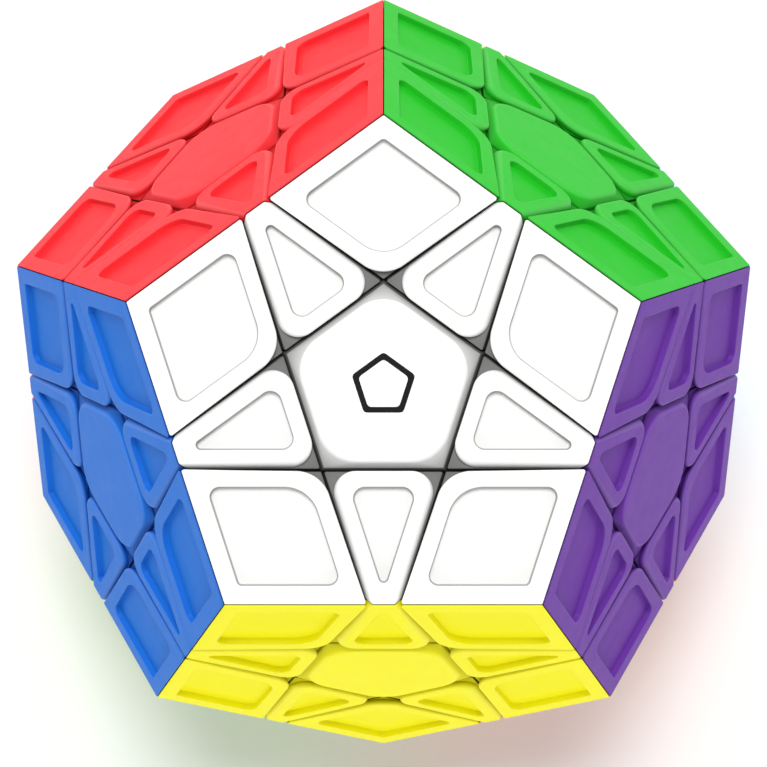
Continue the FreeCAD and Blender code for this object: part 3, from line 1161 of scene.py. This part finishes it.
@dataclass
class BaseCarving:
    """The hidden base of a CAD node, taken over without its tiles."""

    node: str
    body: str
    reach: float = 34.0 * MM
    weld: float = 0.0005 * MM
    flatness: float = 0.6
    crease: float = 30.0

    def build(self, finish: bpy.types.Material) -> bpy.types.Object:
        """Takes the base out of a copy of the CAD node's mesh.

        Args:
            finish: Its material.

        Returns:
            The base, riding on its body.
        """
        work = bmesh.new()
        work.from_mesh(frame["nodes"][self.node].data)
        bmesh.ops.remove_doubles(work, verts=work.verts, dist=self.weld)
        self.drop_tiles(work)
        limit = math.radians(self.flatness)
        bmesh.ops.dissolve_limit(work, angle_limit=limit, verts=work.verts, edges=work.edges)
        mesh = bpy.data.meshes.new(f"{self.node}_base")
        work.to_mesh(mesh)
        work.free()
        mesh.materials.append(finish)
        smooth(mesh, self.crease)
        base = bpy.data.objects.new(f"{self.node}_base", mesh)
        bpy.context.scene.collection.objects.link(base)
        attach(base, self.body)
        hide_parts(self.node)
        return base

    def drop_tiles(self, work: bmesh.types.BMesh) -> None:
        """Deletes every island that doesn't reach in towards the core.

        Args:
            work: The mesh to clean.
        """
        unseen = set(work.verts)
        doomed: list[bmesh.types.BMVert] = []
        while unseen:
            seed = unseen.pop()
            island, edge = [seed], [seed]
            while edge:
                for link in edge.pop().link_edges:
                    for vert in link.verts:
                        if vert in unseen:
                            unseen.discard(vert)
                            island.append(vert)
                            edge.append(vert)
            if min(vert.co.length for vert in island) > self.reach:
                doomed += island
        bmesh.ops.delete(work, geom=doomed, context="VERTS")


@dataclass
class SpringSet:
    """The twelve tension springs, one on each face axis."""

    node: str = "tension_springs"
    low: float = 22.8 * MM
    high: float = 30.7 * MM
    turns: float = 5.5
    coil_radius: float = 2.5 * MM
    wire_radius: float = 0.3 * MM
    crease: float = 50.0

    def build(self, shop: Workshop) -> bpy.types.Object:
        """Winds one spring and lays it on every axis.

        Args:
            shop: The finishes and trees.

        Returns:
            The twelve springs as one piece.
        """
        inputs = {"Turns": self.turns, "Coil radius": self.coil_radius, "Wire radius": self.wire_radius,
                  "Length": self.high - self.low, "Finish": shop.shelf.spring}
        master = grown("spring_master", shop.winding, inputs)
        master.data.transform(Matrix.Translation((0.0, 0.0, self.low)))
        smooth(master.data, self.crease)
        bpy.context.scene.collection.objects.unlink(master)
        shop.masters["spring"] = master
        turns = [face_turn(axis, Vector((1, 0, 0)) if abs(axis.x) < 0.8 else Vector((0, 1, 0)))
                 for axis in AXES.values()]
        springs = shop.lay("tension_spring_set", "spring", turns, shop.shelf.spring)
        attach(springs, "core")
        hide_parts(self.node)
        return springs


# ---- studio -------------------------------------------------------------------------------
@dataclass(frozen=True)
class Lamp:
    """A square soft light that looks at the puzzle."""

    name: str
    place: tuple[float, float, float]
    size: float
    power: float

    def hang(self) -> None:
        """Adds the light to the scene."""
        lamp = bpy.data.lights.new(self.name, "AREA")
        lamp.shape = "SQUARE"
        lamp.size = self.size
        lamp.energy = self.power
        stand = bpy.data.objects.new(self.name, lamp)
        stand.location = self.place
        stand.rotation_mode = "QUATERNION"
        stand.rotation_quaternion = Vector(self.place).to_track_quat("Z", "Y")
        bpy.context.scene.collection.objects.link(stand)


KEY = Lamp("key", (-0.02, 0.36, 0.74), 0.32, 5.0)       # overhead on the +Y side
FILL = Lamp("fill", (0.0, -0.9, 0.14), 0.6, 2.6)        # low, opposite the key


@dataclass
class Studio:
    """Floor, soft light and camera."""

    camera_place: tuple[float, float, float] = (0.1 * MM, 0.4 * MM, 215.0 * MM)
    lens: float = 89.85
    framing: tuple[float, float] = (-0.0012, -0.0020)
    horizon: float = 1.06
    zenith: float = 0.36
    table_half: float = 3.0
    table_clear: float = 0.02 * MM

    def build(self) -> None:
        """Sets the stage."""
        self.floor()
        self.world()
        KEY.hang()
        FILL.hang()
        self.camera()

    def floor(self) -> None:
        """A pale matt table under the puzzle."""
        mesh = bpy.data.meshes.new("table_top")
        half, height = self.table_half, CAD_BOX[0].z - self.table_clear
        corners = [(x * half, y * half, height) for x, y in ((-1, -1), (1, -1), (1, 1), (-1, 1))]
        mesh.from_pydata(corners, [], [(0, 1, 2, 3)])
        top = bpy.data.objects.new("table_top", mesh)
        bpy.context.scene.collection.objects.link(top)
        material, _, shader = new_material("pale_table")
        shader.inputs["Base Color"].default_value = (0.93, 0.93, 0.93, 1.0)
        shader.inputs["Roughness"].default_value = 0.9
        shader.inputs["Specular IOR Level"].default_value = 0.1
        mesh.materials.append(material)

    def world(self) -> None:
        """White light from all round, brighter towards the horizon than overhead."""
        world = bpy.data.worlds.new("soft_studio")
        world.use_nodes = True
        bench = NodeBench(world.node_tree)
        split = bench.add("ShaderNodeSeparateXYZ")
        bench.feed(split.inputs[0], bench.add("ShaderNodeTexCoord").outputs["Generated"])
        ramp = bench.add("ShaderNodeMapRange", interpolation_type="SMOOTHSTEP")
        for label, number in (("From Min", 0.0), ("From Max", 0.9),
                              ("To Min", self.horizon), ("To Max", self.zenith)):
            ramp.inputs[label].default_value = number
        bench.feed(ramp.inputs["Value"], split.outputs["Z"])
        background = world.node_tree.nodes["Background"]
        background.inputs["Color"].default_value = (1.0, 1.0, 1.0, 1.0)
        bench.feed(background.inputs["Strength"], ramp.outputs["Result"])
        bpy.context.scene.world = world

    def camera(self) -> None:
        """Camera straight above the white face."""
        lens = bpy.data.cameras.new("camera")
        lens.lens = self.lens
        lens.shift_x, lens.shift_y = self.framing
        lens.clip_start, lens.clip_end = 0.01, 20.0
        camera = bpy.data.objects.new("camera", lens)
        camera.location = Vector(self.camera_place) + UP * INRADIUS
        bpy.context.scene.collection.objects.link(camera)
        bpy.context.scene.camera = camera
        bpy.context.scene.view_settings.view_transform = "Standard"


# ---- assembly -----------------------------------------------------------------------------
def puzzle_pieces(node: str, body: str) -> list[PuzzlePiece]:
    """Puzzle pieces that a CAD node stands for.

    Args:
        node: The node's name, such as edge_white_red.
        body: The body that it rides on.

    Returns:
        One piece, or an edge piece and the grey corner piece below it.
    """
    words = node.split("_")
    known = {colour.value: colour for colour in Colour}
    colours = tuple(known[word] for word in words[1:4] if word in known)
    if node.endswith("_and_grey_corner"):
        pair = colours[:2]
        return [PuzzlePiece(node, body, pair, "edge"),
                PuzzlePiece(node, body, (*pair, Colour.GREY), "corner")]
    return [PuzzlePiece(node, body, colours, words[0])]


def dress_core(shelf: FinishShelf) -> None:
    """Gives the carried-over core and screws their finishes.

    Args:
        shelf: The finishes.
    """
    for node, finish in (("core", shelf.core), ("axis_screws", shelf.screw)):
        mesh = frame["nodes"][node].data
        mesh.materials.clear()
        mesh.materials.append(finish)
        LOG.info("dressed %s", node)


def main() -> None:
    """Builds the puzzle in order."""
    logging.basicConfig(level=logging.INFO, format="%(name)s: %(message)s")
    shelf = FinishShelf()
    shelf.stock()
    shop = Workshop(shelf)
    shop.cut_moulds()
    Studio().build()
    dress_core(shelf)
    LOG.info("springs: %d faces", len(SpringSet().build(shop).data.polygons))
    bodies = frame["record"]["behaviour"]["bodies"]
    for body, nodes in bodies.items():
        for node in nodes:
            if node.split("_")[0] not in ("centre", "edge", "corner"):
                continue
            base = BaseCarving(node, body).build(shelf.inner)
            tiles = [tile for piece in puzzle_pieces(node, body) for tile in piece.build(shop)]
            LOG.info("%s: base %d faces, %d tiles", node, len(base.data.polygons), len(tiles))


if __name__ == "__main__":
    main()
